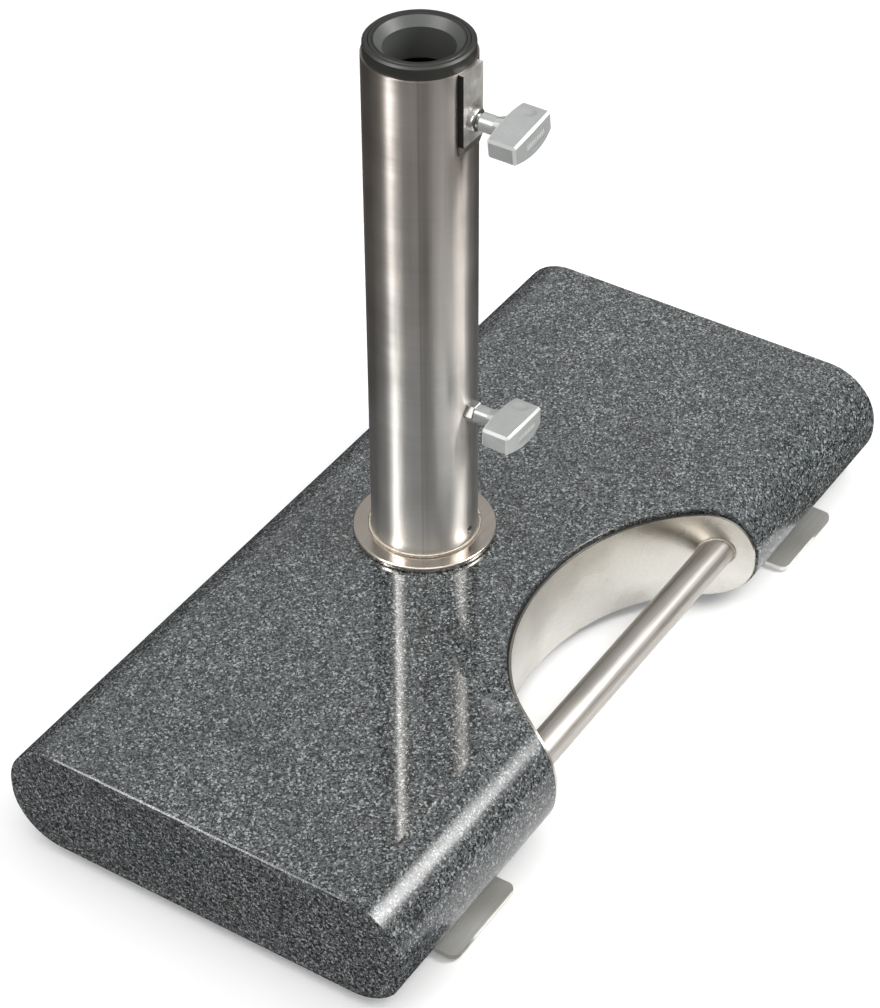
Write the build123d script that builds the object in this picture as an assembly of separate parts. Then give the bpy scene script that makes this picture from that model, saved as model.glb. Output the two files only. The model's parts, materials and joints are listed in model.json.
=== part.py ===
from build123d import *
import math
import os

os.makedirs("parts", exist_ok=True)

# A granite parasol base. All lengths are millimetres.
# +X runs along the slab, -Y is the carrying side, +Z is up, the floor is at Z = 0.
# Everything is drawn about the upright tube's axis and moved by save() so that
# the origin ends up in the middle of the slab's footprint.

# granite slab
slab_length = 546.0
slab_width = 260.0
slab_thickness = 70.0
tube_to_back = 97.0
top_edge_radius = 34.0
bottom_edge_radius = 32.0
end_edge_break = 0.8

# carrying recess, its steel lining and the bar across it
recess_half_width = 116.8
recess_half_height = 92.0
recess_depth = 80.7
recess_widening = 4.0
sealant_thickness = 1.5
sealant_set_back = 1.0
liner_thickness = 1.5
liner_set_back = 3.2
liner_side_set_back = 1.2
liner_above_bottom = 0.7
bar_radius = 9.9
bar_back_to_recess = 48.0
bar_above_bottom = 37.6
bar_weld_width = 1.4
bar_weld_height = 1.0
dowel_radius = 3.0
dowel_depth = 18.0
dowel_angle = 32.0

# flange and its fixing through the stone
gasket_thickness = 0.8
gasket_inset = 1.0
flange_overhang = 11.2
flange_thickness = 3.0
flange_edge_round = 1.2
bolt_radius = 6.0
bolt_clearance = 0.5
bolt_head_flats = 18.0
bolt_head_height = 7.5
bolt_end_above_nut = 2.0
washer_radius = 13.0
washer_thickness = 2.5
bolt_nut_height = 10.0
counterbore_radius = 16.0
counterbore_depth = 16.0

# upright tube
tube_radius = 31.5
tube_wall = 2.0
tube_above_slab = 326.0
flange_weld_width = 3.4
flange_weld_height = 3.4
flange_weld_swell = 0.58
drain_radius = 2.5
drain_above_slab = 12.0

# clamping side of the tube
plate_width = 19.0
plate_thickness = 2.0
plate_height = 44.0
plate_weld_height = 6.0
upper_screw_below_top = 30.2
lower_screw_above_slab = 100.8
upper_nut_radius = 6.6
upper_nut_thickness = 3.5
lower_nut_flats = 11.0
lower_nut_reach = 5.5
nut_bevel = 0.6

# clamping screws and their grips
spindle_radius = 4.0
spindle_running_gap = 0.05
spindle_hole_gap = 0.5
spindle_bevel = 0.6
nose_radius = 2.5
nose_length = 2.0
pad_radius = 5.0
pad_thickness = 3.0
pad_edge_round = 0.8
upper_tip_radius_from_axis = 9.6
screw_gap_at_nut = 2.5
shank_radius = 5.3
shank_length = 13.5
shank_flare_radius = 7.6
shank_flare_length = 5.0
upper_grip_turn = 7.0
lower_grip_turn = -1.0
grip_length = 36.6
grip_depth = 17.3
grip_end_height = 11.6
grip_middle_height = 17.0
grip_bulge = 2.0
grip_edge_break = 1.3
grip_socket_depth = 12.0
scoop_radius = 13.0
scoop_depth = 1.8
scoop_from_middle = 11.5
panel_length = 27.0
panel_height = 7.0
panel_depth = 0.5
panel_corner_radius = 3.15

# nested reducing sleeves at the top of the tube
sleeve_gap = 0.3
rim_inside_tube_edge = 1.1
rim_ring_width = 3.0
middle_ring_width = 1.9
sleeve_step = 1.9
rim_height = 7.8
middle_rim_height = 5.8
inner_rim_height = 2.9
sleeve_reach = 20.0
sleeve_reach_step = 2.0
pole_bore_radius = 19.8
funnel_depth = 5.0
funnel_lip = 0.8
rim_edge_break = 1.1
middle_edge_break = 0.275

# feet
foot_pad_thickness = 2.0
cushion_thickness = 3.0
cushion_inset = 3.0
strip_thickness = 3.0
strip_width = 62.6
strip_length = 243.0
strip_from_middle = 189.4
strip_corner_radius = 5.0
strip_hole_from_front = 53.0
strip_hole_spacing = 135.0
foot_screw_radius = 2.5
foot_screw_clearance = 0.25
foot_screw_head_radius = 5.0
foot_screw_length = 19.0
insert_radius = 4.0
insert_length = 13.5
insert_hole_spare = 0.5
foot_pad_width = 51.0
foot_pad_length = 37.0
foot_pad_inset = 5.0
foot_pad_corner_radius = 4.0

# derived levels and positions
strip_top = foot_pad_thickness + strip_thickness
slab_bottom = strip_top + cushion_thickness
slab_top = slab_bottom + slab_thickness
slab_back = tube_to_back
slab_front = tube_to_back - slab_width
slab_middle_y = (slab_front + slab_back) / 2
flange_top = slab_top + gasket_thickness + flange_thickness
flange_radius = tube_radius + flange_overhang
rim_radius = tube_radius - rim_inside_tube_edge
tube_top = slab_top + tube_above_slab
tube_bore = tube_radius - tube_wall
outer_body = tube_bore - sleeve_gap
middle_rim = rim_radius - rim_ring_width - sleeve_gap
middle_body = middle_rim - sleeve_step
inner_rim = middle_rim - middle_ring_width - sleeve_gap
inner_body = inner_rim - sleeve_step
recess_y = slab_front + recess_depth - recess_half_height
liner_outer = sealant_thickness
liner_inner = liner_outer + liner_thickness
bar_y = slab_front + recess_depth - bar_back_to_recess - bar_radius
bar_z = slab_bottom + bar_above_bottom
upper_z = tube_top - upper_screw_below_top
lower_z = slab_top + lower_screw_above_slab
plate_front = -(tube_radius + plate_thickness)
upper_nut_front = plate_front - upper_nut_thickness
lower_nut_front = -(tube_radius + lower_nut_reach)
upper_shank_y = upper_nut_front - screw_gap_at_nut
lower_shank_y = lower_nut_front
spindle_reach = -upper_tip_radius_from_axis - upper_shank_y - pad_thickness
spindle_hole = spindle_radius + spindle_hole_gap
bolt_nut_top = slab_bottom + counterbore_depth - washer_thickness
bolt_nut_bottom = bolt_nut_top - bolt_nut_height

from_below = (Align.CENTER, Align.CENTER, Align.MIN)


def save(name, shape):
    export_step(Pos(0, -slab_middle_y, 0) * shape, f"parts/{name}.step")


def rod(radius, z_low, z_high, x=0.0, y=0.0):
    return Pos(x, y, z_low) * Cylinder(radius, z_high - z_low, align=from_below)


def tube(outer, inner, z_low, z_high, x=0.0, y=0.0):
    return rod(outer, z_low, z_high, x, y) - rod(inner, z_low, z_high, x, y)


def rod_y(radius, y_low, y_high, z, x=0.0):
    turned = Rot(-90, 0, 0) * Cylinder(radius, y_high - y_low, align=from_below)
    return Pos(x, y_low, z) * turned


def cone_y(radius_low, radius_high, y_low, y_high, z):
    cone = Cone(radius_low, radius_high, y_high - y_low, align=from_below)
    return Pos(0, y_low, z) * Rot(-90, 0, 0) * cone


def hexagon(flats, height):
    face = RegularPolygon(flats / 2, 6, major_radius=False)
    return extrude(face, height)


def spin(points):
    """Solid of revolution about Z from (radius, z) corners."""
    face = make_face(Polyline(*[(r, 0, z) for r, z in points], close=True))
    return revolve(face, Axis.Z, 360)


def slab_block(top_inset=0.0, side_inset=0.0, bottom_inset=0.0):
    """The slab's outline, or a smaller one inside it."""
    low = slab_bottom + bottom_inset
    high = slab_top - top_inset
    section = Rectangle(slab_width - 2 * side_inset, high - low)
    corners = section.vertices().sort_by(Axis.Y)
    section = fillet(corners[:2], bottom_edge_radius - side_inset)
    upper = section.vertices().sort_by(Axis.Y)[-2:]
    section = fillet(upper, top_edge_radius - top_inset)
    placed = Pos(0, slab_middle_y, (low + high) / 2) * (Plane.YZ * section)
    return extrude(placed, slab_length / 2 - side_inset, both=True)


def recess_block(inset=0.0):
    """Elliptical plug a little wider at its foot, its wall inside the recess's own by the inset."""
    low = Ellipse(
        recess_half_width + recess_widening - inset, recess_half_height + recess_widening - inset
    )
    high = Ellipse(recess_half_width - inset, recess_half_height - inset)
    return loft([Pos(0, recess_y, slab_bottom) * low, Pos(0, recess_y, slab_top) * high], ruled=True)


def dowel_places():
    middle_z = (slab_bottom + slab_top) / 2
    for side in (-1, 1):
        yield Pos(0, recess_y, middle_z) * Rot(0, 0, 90 + side * dowel_angle) * Rot(0, 90, 0)


def dowel_rod(place):
    """A rod from inside the recess to its end in the stone."""
    across = math.sin(math.radians(dowel_angle)) / recess_half_width
    along = math.cos(math.radians(dowel_angle)) / recess_half_height
    wall = 1 / math.hypot(across, along)
    start = wall - dowel_depth
    return place * Pos(0, 0, start) * Cylinder(dowel_radius, 2 * dowel_depth, align=from_below)


def foot_screw_places():
    for side in (-1, 1):
        for row in (0, 1):
            y = slab_front + strip_hole_from_front + row * strip_hole_spacing
            yield side * strip_from_middle, y


def granite_slab():
    slab = slab_block()
    for end in (0, -1):
        rim = slab.faces().sort_by(Axis.X)[end].edges()
        slab = chamfer(rim, end_edge_break)
    slab -= recess_block()
    slab -= rod(bolt_radius + bolt_clearance, slab_bottom, slab_top)
    slab -= rod(counterbore_radius, slab_bottom, slab_bottom + counterbore_depth)
    for place in dowel_places():
        slab -= dowel_rod(place)
    for x, y in foot_screw_places():
        depth = insert_length + insert_hole_spare
        slab -= rod(insert_radius, slab_bottom, slab_bottom + depth, x, y)
    return slab


def recess_liner():
    band = recess_block(liner_outer) - recess_block(liner_inner)
    return band & slab_block(liner_set_back, liner_side_set_back, liner_above_bottom)


def liner_sealant():
    band = recess_block() - recess_block(liner_outer)
    for place in dowel_places():
        band -= dowel_rod(place)
    top_inset = liner_set_back + sealant_set_back
    side_inset = liner_side_set_back + sealant_set_back
    return band & slab_block(top_inset, side_inset, liner_above_bottom + sealant_set_back)


def liner_dowels():
    for place in dowel_places():
        yield dowel_rod(place) - recess_block(liner_outer)


def bar_rod(radius):
    along = Rot(0, 90, 0) * Cylinder(radius, 2 * recess_half_width)
    return Pos(0, bar_y, bar_z) * along


def handle_bar():
    return bar_rod(bar_radius) & recess_block(liner_inner)


def handle_weld(side):
    collar = bar_rod(bar_radius + bar_weld_height) - bar_rod(bar_radius)
    collar &= recess_block(liner_inner) - recess_block(liner_inner + bar_weld_width)
    width = 2 * recess_half_width
    half = Pos(side * width / 2, bar_y, bar_z) * Box(width, slab_width, slab_thickness)
    return collar & half


def flange_gasket():
    inner = bolt_radius + bolt_clearance
    return tube(flange_radius - gasket_inset, inner, slab_top, slab_top + gasket_thickness)


def base_flange():
    disc = rod(flange_radius, slab_top + gasket_thickness, flange_top)
    rim = disc.edges().filter_by(GeomType.CIRCLE).sort_by(Axis.Z)[-1]
    disc = fillet(rim, flange_edge_round)
    return disc - rod(bolt_radius + bolt_clearance, slab_top, flange_top)


def flange_weld():
    toe = (tube_radius + flange_weld_width, 0, flange_top)
    crown = (tube_radius, 0, flange_top + flange_weld_height)
    root = (tube_radius, 0, flange_top)
    swell = flange_weld_swell
    belly = (tube_radius + swell * flange_weld_width, 0, flange_top + swell * flange_weld_height)
    outline = Line(root, toe) + ThreePointArc(toe, belly, crown) + Line(crown, root)
    return revolve(make_face(outline), Axis.Z, 360)


def stand_tube():
    pipe = tube(tube_radius, tube_bore, flange_top, tube_top)
    for z in (upper_z, lower_z):
        pipe -= rod_y(spindle_hole, -tube_radius - 1, 0, z)
    return pipe - rod_y(drain_radius, -tube_radius - 1, 0, slab_top + drain_above_slab)


def mounting_bolt():
    head = Pos(0, 0, flange_top) * hexagon(bolt_head_flats, bolt_head_height)
    head = chamfer(head.faces().sort_by(Axis.Z)[-1].edges(), nut_bevel)
    return head + rod(bolt_radius, bolt_nut_bottom - bolt_end_above_nut, flange_top)


def bolt_washer():
    return tube(washer_radius, bolt_radius, bolt_nut_top, bolt_nut_top + washer_thickness)


def bolt_nut():
    nut = Pos(0, 0, bolt_nut_bottom) * hexagon(bolt_head_flats, bolt_nut_height)
    nut = chamfer(nut.faces().sort_by(Axis.Z)[0].edges(), nut_bevel)
    return nut - rod(bolt_radius, bolt_nut_bottom, bolt_nut_top)


def saddle(shape):
    """Hollows the back of a part so that it sits on the tube's outside."""
    return shape - rod(tube_radius, flange_top, tube_top)


def clamp_plate():
    depth = plate_thickness + tube_wall
    block = Box(plate_width, depth, plate_height, align=(Align.CENTER, Align.MIN, Align.MAX))
    plate = saddle(Pos(0, plate_front, tube_top) * block)
    return plate - rod_y(spindle_hole, plate_front, 0, upper_z)


def clamp_plate_weld():
    top = tube_top - plate_height
    corners = [
        (0, plate_front, top),
        (0, -tube_radius, top - plate_weld_height),
        (0, tube_wall - tube_radius, top - plate_weld_height),
        (0, tube_wall - tube_radius, top),
    ]
    wedge = extrude(make_face(Polyline(*corners, close=True)), plate_width / 2, both=True)
    return saddle(wedge)


def upper_weld_nut():
    nut = rod_y(upper_nut_radius, upper_nut_front, plate_front, upper_z)
    nut = chamfer(nut.faces().sort_by(Axis.Y)[0].edges(), nut_bevel)
    return nut - rod_y(spindle_radius + spindle_running_gap, upper_nut_front, plate_front, upper_z)


def lower_weld_nut():
    depth = lower_nut_reach + tube_wall
    nut = Pos(0, lower_nut_front, lower_z) * Rot(-90, 0, 0) * hexagon(lower_nut_flats, depth)
    nut = chamfer(nut.faces().sort_by(Axis.Y)[0].edges(), nut_bevel)
    nut -= rod_y(spindle_radius + spindle_running_gap, lower_nut_front, 0, lower_z)
    return saddle(nut)


def spindle(shank_y, z):
    shoulder = shank_y + spindle_reach
    shaft = rod_y(spindle_radius, shank_y - grip_socket_depth, shoulder, z)
    shaft = chamfer(shaft.faces().sort_by(Axis.Y)[-1].edges(), spindle_bevel)
    return shaft + rod_y(nose_radius, shoulder, shoulder + nose_length, z)


def pressure_pad(shank_y, z):
    shoulder = shank_y + spindle_reach
    pad = rod_y(pad_radius, shoulder, shoulder + pad_thickness, z)
    pad = fillet(pad.faces().sort_by(Axis.Y)[-1].edges(), pad_edge_round)
    socket_end = shoulder + nose_length + spindle_running_gap
    return pad - rod_y(nose_radius + spindle_running_gap, shoulder, socket_end, z)


def grip(shank_y, z, turn):
    half = grip_length / 2
    low = grip_end_height / 2
    high = grip_middle_height / 2
    front = (
        Line((-half, -low), (-half, low))
        + ThreePointArc((-half, low), (0, high), (half, low))
        + Line((half, low), (half, -low))
        + ThreePointArc((half, -low), (0, -high), (-half, -low))
    )
    depth = grip_depth + grip_bulge
    body = extrude(Plane.XZ * make_face(front), depth)
    plan = (
        Line((-half, -grip_depth), (-half, 0))
        + Line((-half, 0), (half, 0))
        + Line((half, 0), (half, -grip_depth))
        + ThreePointArc((half, -grip_depth), (0, -depth), (-half, -grip_depth))
    )
    body &= extrude(make_face(plan), grip_middle_height, both=True)
    body = chamfer(body.edges(), grip_edge_break)
    for side in (-1, 1):
        centre = Pos(side * scoop_from_middle, -grip_depth / 2, side * (high - scoop_depth + scoop_radius))
        body -= centre * Sphere(scoop_radius)
    panel = Pos(0, -depth, 0) * Box(panel_length, 2 * panel_depth, panel_height)
    corners = panel.edges().filter_by(Axis.Y)
    body -= fillet(corners, panel_corner_radius)
    shank_end = shank_y - shank_length
    head = Pos(0, shank_end, z) * Rot(0, -turn, 0) * body
    head += rod_y(shank_radius, shank_end - 1, shank_y, z)
    head += cone_y(shank_flare_radius, shank_radius, shank_end - 1, shank_end + shank_flare_length, z)
    return head - rod_y(spindle_radius, shank_y - grip_socket_depth, shank_y, z)


def sleeve(rim_out, body_out, bore, reach, rim, pocket, pocket_depth, edge_break):
    """A stepped ring: a rim that rests on what is below it, and a body inside that."""
    top = tube_top + rim_height
    under = top - rim
    return spin([
        (bore, tube_top - reach), (body_out, tube_top - reach), (body_out, under),
        (rim_out, under), (rim_out, top - edge_break), (rim_out - edge_break, top),
        (pocket, top), (pocket, top - pocket_depth), (bore, top - pocket_depth),
    ])


def outer_sleeve():
    pocket = middle_rim + sleeve_gap
    bore = middle_body + sleeve_gap
    reach = sleeve_reach
    edge = rim_edge_break
    return sleeve(rim_radius, outer_body, bore, reach, rim_height, pocket, middle_rim_height, edge)


def middle_sleeve():
    pocket = inner_rim + sleeve_gap
    bore = inner_body + sleeve_gap
    reach = sleeve_reach - sleeve_reach_step
    edge = middle_edge_break
    return sleeve(middle_rim, middle_body, bore, reach, middle_rim_height, pocket, inner_rim_height, edge)


def inner_sleeve():
    mouth = inner_rim - funnel_lip
    top = tube_top + rim_height
    under = top - inner_rim_height
    low = tube_top - sleeve_reach + 2 * sleeve_reach_step
    return spin([
        (pole_bore_radius, low), (inner_body, low), (inner_body, under), (inner_rim, under),
        (inner_rim, top), (mouth, top), (pole_bore_radius, top - funnel_depth),
    ])


def foot_strip(side):
    x = side * strip_from_middle
    y = slab_front + strip_length / 2
    outline = fillet(Rectangle(strip_width, strip_length).vertices(), strip_corner_radius)
    strip = Pos(x, y, foot_pad_thickness) * extrude(outline, strip_thickness)
    sink = foot_screw_head_radius - foot_screw_radius
    for hole_x, hole_y in foot_screw_places():
        cone = Cone(foot_screw_head_radius, foot_screw_radius, sink, align=from_below)
        strip -= Pos(hole_x, hole_y, foot_pad_thickness) * cone
        clearance = foot_screw_radius + foot_screw_clearance
        strip -= rod(clearance, foot_pad_thickness, strip_top, hole_x, hole_y)
    return strip


def strip_cushion(side):
    """Soft layer between the stone and a foot strip, hidden by the slab's flat underside."""
    front = slab_front + bottom_edge_radius + cushion_inset
    back = slab_front + strip_length - cushion_inset
    width = strip_width - 2 * cushion_inset
    sheet = extrude(Rectangle(width, back - front), cushion_thickness)
    sheet = Pos(side * strip_from_middle, (front + back) / 2, strip_top) * sheet
    for x, y in foot_screw_places():
        sheet -= rod(foot_screw_radius + foot_screw_clearance, strip_top, slab_bottom, x, y)
    return sheet


def foot_screw(x, y):
    sink = foot_screw_head_radius - foot_screw_radius
    cone = Cone(foot_screw_head_radius, foot_screw_radius, sink, align=from_below)
    shaft = rod(foot_screw_radius, foot_pad_thickness, foot_pad_thickness + foot_screw_length, x, y)
    return shaft + Pos(x, y, foot_pad_thickness) * cone


def anchor_insert(x, y):
    return tube(insert_radius, foot_screw_radius, slab_bottom, slab_bottom + insert_length, x, y)


def foot_pad(side, row):
    first = slab_front + foot_pad_inset + foot_pad_length / 2
    last = slab_front + strip_length - foot_pad_inset - foot_pad_length / 2
    y = last if row else first
    outline = Rectangle(foot_pad_width, foot_pad_length)
    outline = fillet(outline.vertices(), foot_pad_corner_radius)
    return Pos(side * strip_from_middle, y, 0) * extrude(outline, foot_pad_thickness)


save("granite_slab", granite_slab())
save("recess_liner", recess_liner())
save("liner_sealant", liner_sealant())
save("handle_bar", handle_bar())
save("flange_gasket", flange_gasket())
save("base_flange", base_flange())
save("flange_weld", flange_weld())
save("stand_tube", stand_tube())
save("mounting_bolt", mounting_bolt())
save("bolt_washer", bolt_washer())
save("bolt_nut", bolt_nut())
save("clamp_plate", clamp_plate())
save("clamp_plate_weld", clamp_plate_weld())
save("upper_weld_nut", upper_weld_nut())
save("lower_weld_nut", lower_weld_nut())
save("outer_sleeve", outer_sleeve())
save("middle_sleeve", middle_sleeve())
save("inner_sleeve", inner_sleeve())

for side_name, dowel in zip(("right", "left"), liner_dowels()):
    save(f"{side_name}_liner_dowel", dowel)

levels = (
    ("upper", upper_shank_y, upper_z, upper_grip_turn),
    ("lower", lower_shank_y, lower_z, lower_grip_turn),
)
for level, shank_y, z, turn in levels:
    save(f"{level}_spindle", spindle(shank_y, z))
    save(f"{level}_pressure_pad", pressure_pad(shank_y, z))
    save(f"{level}_grip", grip(shank_y, z, turn))

for side, side_name in ((-1, "left"), (1, "right")):
    save(f"{side_name}_handle_weld", handle_weld(side))
    save(f"{side_name}_foot_strip", foot_strip(side))
    save(f"{side_name}_strip_cushion", strip_cushion(side))
    for row, row_name in ((0, "front"), (1, "back")):
        save(f"{side_name}_{row_name}_foot_pad", foot_pad(side, row))

for number, (x, y) in enumerate(foot_screw_places()):
    place = ("left_front", "left_back", "right_front", "right_back")[number]
    save(f"{place}_foot_screw", foot_screw(x, y))
    save(f"{place}_anchor_insert", anchor_insert(x, y))
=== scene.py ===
import bpy
import bmesh
import json
import math
from mathutils import Matrix, Vector


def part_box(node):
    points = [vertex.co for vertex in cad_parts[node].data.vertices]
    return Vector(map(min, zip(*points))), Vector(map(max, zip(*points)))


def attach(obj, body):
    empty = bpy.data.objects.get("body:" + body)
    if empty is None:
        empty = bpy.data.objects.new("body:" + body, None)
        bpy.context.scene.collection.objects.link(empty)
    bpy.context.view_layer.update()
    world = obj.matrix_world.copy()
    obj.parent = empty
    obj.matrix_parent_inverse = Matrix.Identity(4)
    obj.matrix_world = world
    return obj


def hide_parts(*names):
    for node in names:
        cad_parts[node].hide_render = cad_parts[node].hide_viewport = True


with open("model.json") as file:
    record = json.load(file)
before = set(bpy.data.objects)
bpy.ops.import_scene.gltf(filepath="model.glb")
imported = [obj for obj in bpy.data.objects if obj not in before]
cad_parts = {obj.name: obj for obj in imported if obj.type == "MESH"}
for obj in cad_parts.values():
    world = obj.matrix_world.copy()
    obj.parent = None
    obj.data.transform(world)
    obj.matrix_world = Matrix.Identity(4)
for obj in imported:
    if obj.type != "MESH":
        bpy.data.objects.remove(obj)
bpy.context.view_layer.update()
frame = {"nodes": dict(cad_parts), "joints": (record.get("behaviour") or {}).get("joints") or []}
nodes = frame["nodes"]
scene = bpy.context.scene
tubeLow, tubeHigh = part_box("stand_tube")
tubeX = (tubeLow.x + tubeHigh.x) / 2
tubeY = (tubeLow.y + tubeHigh.y) / 2
print("stage: frame loaded,", len(nodes), "nodes")


cameraValues = {
    "place": (-1.13456, -0.71837, 1.22775),
    "azimuth": -56.87,
    "elevation": 39.77,
    "roll": -0.39,
    "lens": 107.3,
    "sensorWidth": 36.0,
}


def turnedTo(direction):
    return direction.to_track_quat("Z", "Y").to_matrix().to_4x4()


def makeCamera(values):
    azimuth = math.radians(values["azimuth"])
    elevation = math.radians(values["elevation"])
    level = math.cos(elevation)
    back = Vector((math.sin(azimuth) * level, -math.cos(azimuth) * level, math.sin(elevation)))
    turn = turnedTo(back) @ Matrix.Rotation(math.radians(values["roll"]), 4, "Z")
    data = bpy.data.cameras.new("productCamera")
    data.lens = values["lens"]
    data.sensor_width = values["sensorWidth"]
    camera = bpy.data.objects.new("productCamera", data)
    camera.matrix_world = Matrix.Translation(values["place"]) @ turn
    scene.collection.objects.link(camera)
    scene.camera = camera


makeCamera(cameraValues)
print("stage: camera")


# node helpers, for the room and for every finish
def grey(level):
    return (level, level, level)


def plug(tree, value, socket):
    if isinstance(value, bpy.types.NodeSocket):
        tree.links.new(value, socket)
    else:
        socket.default_value = value


def coordinates(tree, kind):
    return tree.nodes.new("ShaderNodeTexCoord").outputs[kind]


def objectSpace(tree, scale=(1.0, 1.0, 1.0)):
    mapping = tree.nodes.new("ShaderNodeMapping")
    mapping.inputs["Scale"].default_value = scale
    tree.links.new(coordinates(tree, "Object"), mapping.inputs["Vector"])
    return mapping.outputs["Vector"]


def splitAxes(tree, vector):
    node = tree.nodes.new("ShaderNodeSeparateXYZ")
    tree.links.new(vector, node.inputs[0])
    return node.outputs


def splitChannels(tree, color):
    node = tree.nodes.new("ShaderNodeSeparateColor")
    tree.links.new(color, node.inputs[0])
    return node.outputs


def noise(tree, vector, scale, detail=2.0, roughness=0.5):
    node = tree.nodes.new("ShaderNodeTexNoise")
    node.inputs["Scale"].default_value = scale
    node.inputs["Detail"].default_value = detail
    node.inputs["Roughness"].default_value = roughness
    tree.links.new(vector, node.inputs["Vector"])
    return node.outputs["Fac"]


def cells(tree, vector, scale, output="Color"):
    node = tree.nodes.new("ShaderNodeTexVoronoi")
    node.inputs["Scale"].default_value = scale
    tree.links.new(vector, node.inputs["Vector"])
    return node.outputs[output]


def ramp(tree, factor, stops, interpolation="LINEAR"):
    node = tree.nodes.new("ShaderNodeValToRGB")
    node.color_ramp.interpolation = interpolation
    elements = node.color_ramp.elements
    while len(elements) < len(stops):
        elements.new(0.5)
    for element, (position, color) in zip(elements, stops):
        element.position = position
        element.color = (*color, 1.0)
    tree.links.new(factor, node.inputs["Fac"])
    return node.outputs["Color"]


def remap(tree, value, fromLow, fromHigh, toLow, toHigh):
    node = tree.nodes.new("ShaderNodeMapRange")
    node.inputs["From Min"].default_value = fromLow
    node.inputs["From Max"].default_value = fromHigh
    node.inputs["To Min"].default_value = toLow
    node.inputs["To Max"].default_value = toHigh
    tree.links.new(value, node.inputs["Value"])
    return node.outputs["Result"]


def mixColor(tree, factor, first, second, blend="MIX"):
    node = tree.nodes.new("ShaderNodeMix")
    node.data_type = "RGBA"
    node.blend_type = blend
    plug(tree, factor, node.inputs[0])
    for value, socket in ((first, node.inputs[6]), (second, node.inputs[7])):
        plug(tree, (*value, 1.0) if isinstance(value, tuple) else value, socket)
    return node.outputs[2]


def tinted(tree, color, tone):
    return mixColor(tree, 1.0, color, tone, "MULTIPLY")


def calc(tree, operation, *terms):
    node = tree.nodes.new("ShaderNodeMath")
    node.operation = operation
    for value, socket in zip(terms, node.inputs):
        plug(tree, value, socket)
    return node.outputs[0]


def vectorCalc(tree, operation, *terms):
    node = tree.nodes.new("ShaderNodeVectorMath")
    node.operation = operation
    for value, socket in zip(terms, node.inputs):
        plug(tree, value, socket)
    return node.outputs


def slanted(tree, low, high):  # 0 on faces square to the axes, 1 on chamfers and rounded edges
    sizes = [calc(tree, "ABSOLUTE", part) for part in splitAxes(tree, coordinates(tree, "Normal"))]
    largest = calc(tree, "MAXIMUM", calc(tree, "MAXIMUM", sizes[0], sizes[1]), sizes[2])
    return remap(tree, calc(tree, "SUBTRACT", 1.0, largest), low, high, 0.0, 1.0)


def inwardFacing(tree, x, y):  # 1 on the inside of a round wall about the upright line through x, y
    out = vectorCalc(tree, "SUBTRACT", coordinates(tree, "Object"), (x, y, 0))[0]
    level = vectorCalc(tree, "MULTIPLY", out, (1, 1, 0))[0]
    unit = vectorCalc(tree, "NORMALIZE", level)[0]
    dot = vectorCalc(tree, "DOT_PRODUCT", unit, coordinates(tree, "Normal"))["Value"]
    return remap(tree, dot, -0.30, -0.15, 1.0, 0.0)


def bump(tree, height, strength, distance):
    node = tree.nodes.new("ShaderNodeBump")
    node.inputs["Strength"].default_value = strength
    node.inputs["Distance"].default_value = distance
    tree.links.new(height, node.inputs["Height"])
    return node.outputs["Normal"]


studioValues = {
    "skyColor": (0.82, 0.82, 0.82),
    "lowColor": (0.395, 0.381, 0.364),
    "fadeHeights": (0.42, 0.70),  # 0 is straight down, 0.5 is level, 1 is straight up
    "skyStrength": 0.62,
    "roomHeights": (0.50, 0.74),
    "roomShades": [  # direction in degrees from +X, and how bright the room is there
        (0, 0.22), (60, 0.22), (108, 0.28), (128, 0.75), (190, 0.80), (209, 0.74), (217, 0.40),
        (246, 0.36), (262, 0.66), (305, 0.68), (330, 0.50), (345, 0.30), (360, 0.22),
    ],
    "floorColor": (0.94, 0.94, 0.94),
    "floorRoughness": 0.9,
    "floorGlow": 0.16,
    "floorReach": 14.0,
    "paperLow": (-0.20, -0.42),
    "paperHigh": (0.20, 0.02),
    "paperLift": 0.00005,
}

# name, centre, aimed at, width, height, watts, colour, shape, lights dull surfaces too
studioPanels = [
    ("leftStrip", (-1.25, 0.72, 1.15), (0, 0.03, 0.20), 0.26, 1.7, 4.6, (1.0, 0.995, 0.98), "RECTANGLE", True),
    ("leftCore", (-1.20, 0.70, 1.50), (0, 0.03, 0.20), 0.05, 1.1, 32.0, (1.0, 0.995, 0.98), "RECTANGLE", False),
    ("rightCore", (0.57, -1.14, 1.45), (0, 0.03, 0.20), 0.05, 0.9, 9.0, (1.0, 0.99, 0.97), "RECTANGLE", False),
    ("rightPanel", (0.40, -0.68, 0.88), (-0.16, -0.10, 0.10), 0.30, 0.60, 7.0, (1.0, 0.995, 0.98), "ELLIPSE", True),
    ("overhead", (-0.5, -0.1, 2.5), (0, 0, 0), 2.6, 2.6, 34.0, (1.0, 1.0, 1.0), "RECTANGLE", True),
]


def makeWorld(values):
    world = bpy.data.worlds.new("studioWorld")
    world.use_nodes = True
    tree = world.node_tree
    background = tree.nodes["Background"]
    x, y, z = splitAxes(tree, coordinates(tree, "Generated"))
    height = calc(tree, "MULTIPLY_ADD", z, 0.5, 0.5)
    sky = ramp(tree, height, list(zip(values["fadeHeights"], (values["lowColor"], values["skyColor"]))))
    turn = calc(tree, "MULTIPLY_ADD", calc(tree, "ARCTAN2", y, x), 0.5 / math.pi, 1.0)
    shades = [(degrees / 360, grey(shade)) for degrees, shade in values["roomShades"]]
    room = ramp(tree, calc(tree, "FRACT", turn), shades)
    near = remap(tree, height, *values["roomHeights"], 1.0, 0.0)
    tree.links.new(mixColor(tree, near, sky, room, "MULTIPLY"), background.inputs["Color"])
    background.inputs["Strength"].default_value = values["skyStrength"]
    scene.world = world


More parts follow.
